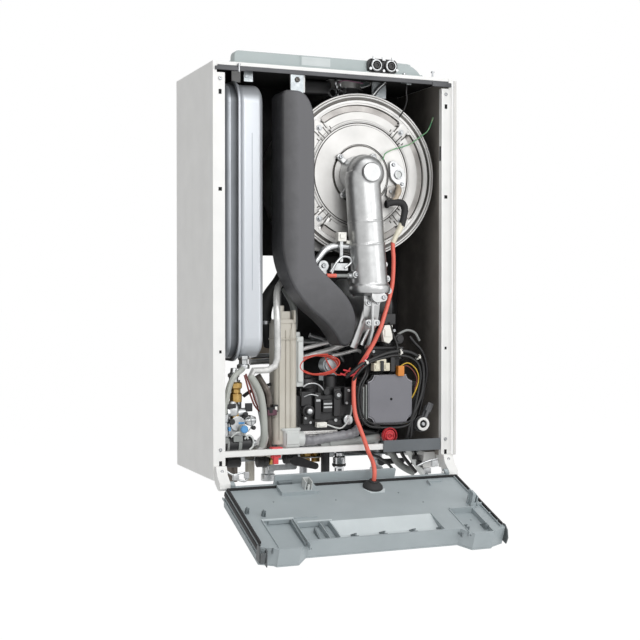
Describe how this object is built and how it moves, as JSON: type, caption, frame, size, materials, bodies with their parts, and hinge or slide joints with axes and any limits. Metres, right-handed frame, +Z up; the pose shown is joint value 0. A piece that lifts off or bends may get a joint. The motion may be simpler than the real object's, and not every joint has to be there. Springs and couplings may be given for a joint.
{
  "type": "combi boiler",
  "caption": "Wall-hung gas combi boiler, front cover off, with drum heat exchanger, air duct, expansion vessel, pump, hydraulics and a hinged control housing swung down.",
  "frame": {"origin": "centre of the back panel's wall face", "axes": "+X to the viewer's right, +Y into the wall, +Z up"},
  "size_m": [0.45, 0.4351, 0.8321],
  "materials": {
    "white_paint": "semi-gloss powder coat",
    "galvanised": "galvanised sheet",
    "dark_lining": "matt dark lining",
    "header_plastic": "fine grained",
    "silver_paint": "satin silver paint",
    "duct_plastic": "fine grained",
    "stainless": "satin stainless",
    "cast_aluminium": "as cast",
    "black_plastic": "satin",
    "pump_grey": "satin",
    "red_plastic": "gloss",
    "red_silicone": "satin",
    "black_rubber": "matt",
    "siphon_plastic": "satin",
    "brass": "satin",
    "chrome": "bright",
    "housing_plastic": "fine grained",
    "bracket_paint": "satin",
    "grey_hose": "matt",
    "circuit_board": "satin",
    "steel": "satin",
    "lever_plastic": "satin"
  },
  "bodies": {
    "casing": {"back_panel": "dark_lining", "left_side_panel": "white_paint", "right_side_panel": "white_paint", "top_panel": "white_paint", "header_cover": "header_plastic", "test_port_block": "black_plastic", "front_crossbar": "white_paint", "crossbar_bracket": "bracket_paint", "hinge_block_left": "white_paint", "hinge_block_right": "white_paint", "heat_exchanger_body": "stainless", "burner_door": "stainless", "door_clamp_ring": "stainless", "burner_tube": "steel", "exchanger_coil": "stainless", "mixing_elbow": "cast_aluminium", "fan_inlet_half": "cast_aluminium", "fan_motor_half": "cast_aluminium", "fan_motor": "black_plastic", "air_duct": "duct_plastic", "ignition_electrode": "cast_aluminium", "electrode_boot": "black_rubber", "ignition_lead": "red_silicone", "gas_valve": "black_plastic", "gas_pipe": "steel", "expansion_vessel": "silver_paint", "pump_cover": "pump_grey", "pump_motor": "black_plastic", "pump_housing": "black_plastic", "hydraulic_block": "black_plastic", "plate_heat_exchanger": "stainless", "siphon_trap": "siphon_plastic", "connection_plate": "galvanised", "flow_isolator": "brass", "gas_isolator": "brass", "flow_pipe": "chrome", "return_pipe": "steel", "vessel_hose": "grey_hose", "fill_valve": "brass", "diverter_motor": "black_plastic", "hot_water_pipe": "chrome", "relief_valve": "brass", "drain_valve": "brass", "wiring_loom": "black_rubber", "sensor_lead": "red_silicone"},
    "control_tray": {"control_housing": "housing_plastic", "housing_seal": "black_rubber", "control_fascia": "housing_plastic", "control_board": "circuit_board", "cable_gland": "black_rubber"},
    "power_button": {"power_button": "housing_plastic"},
    "selector_dial": {"selector_dial": "housing_plastic"},
    "fan_rotor": {"fan_impeller": "steel"},
    "pump_rotor": {"pump_impeller": "steel"},
    "relief_knob": {"relief_knob": "red_plastic"},
    "drain_lever": {"drain_lever": "lever_plastic"},
    "fill_knob": {"fill_knob": "grey_hose"},
    "flow_lever": {"flow_isolator_lever": "black_plastic"},
    "gas_lever": {"gas_isolator_lever": "black_plastic"},
    "diverter_spindle": {"diverter_spindle": "steel"}
  },
  "joints": [
    {"name": "tray_hinge", "type": "hinge", "parent": "casing", "child": "control_tray", "pos_m": [0, -0.242, -0.356], "axis": [-1, 0, 0], "range_deg": [0, 110], "deforming": ["ignition_lead"]},
    {"name": "power_press", "type": "slide", "parent": "control_tray", "child": "power_button", "axis": [0, -0.3486, 0.9373], "range_m": [0, 0.0015], "stiffness_N_per_m": 400},
    {"name": "selector_dial_turn", "type": "hinge", "parent": "control_tray", "child": "selector_dial", "pos_m": [0.12, -0.30583, -0.41388], "axis": [0, -0.3486, 0.9373], "range_deg": [-150, 150]},
    {"name": "fan_spin", "type": "hinge", "parent": "casing", "child": "fan_rotor", "pos_m": [0.064, -0.14, -0.062], "axis": [1, 0, 0], "continuous": true},
    {"name": "pump_spin", "type": "hinge", "parent": "casing", "child": "pump_rotor", "pos_m": [0.11, -0.13, -0.225], "axis": [0, 1, 0], "continuous": true},
    {"name": "relief_knob_turn", "type": "hinge", "parent": "casing", "child": "relief_knob", "pos_m": [0.106, -0.205, -0.2895], "axis": [0, 1, 0], "range_deg": [0, 90]},
    {"name": "drain_lever_turn", "type": "hinge", "parent": "casing", "child": "drain_lever", "pos_m": [0.175, -0.2, -0.272], "axis": [0, 1, 0], "range_deg": [0, 70]},
    {"name": "fill_knob_turn", "type": "hinge", "parent": "casing", "child": "fill_knob", "pos_m": [-0.169, -0.211, -0.267], "axis": [0, 1, 0], "range_deg": [0, 90]},
    {"name": "flow_isolator_turn", "type": "hinge", "parent": "casing", "child": "flow_lever", "pos_m": [-0.07, -0.081, -0.354], "axis": [0, 1, 0], "range_deg": [0, 90]},
    {"name": "gas_isolator_turn", "type": "hinge", "parent": "casing", "child": "gas_lever", "pos_m": [0.15, -0.081, -0.354], "axis": [0, 1, 0], "range_deg": [0, 90]},
    {"name": "diverter_slide", "type": "slide", "parent": "casing", "child": "diverter_spindle", "axis": [1, 0, 0], "range_m": [0, 0.005]}
  ]
}
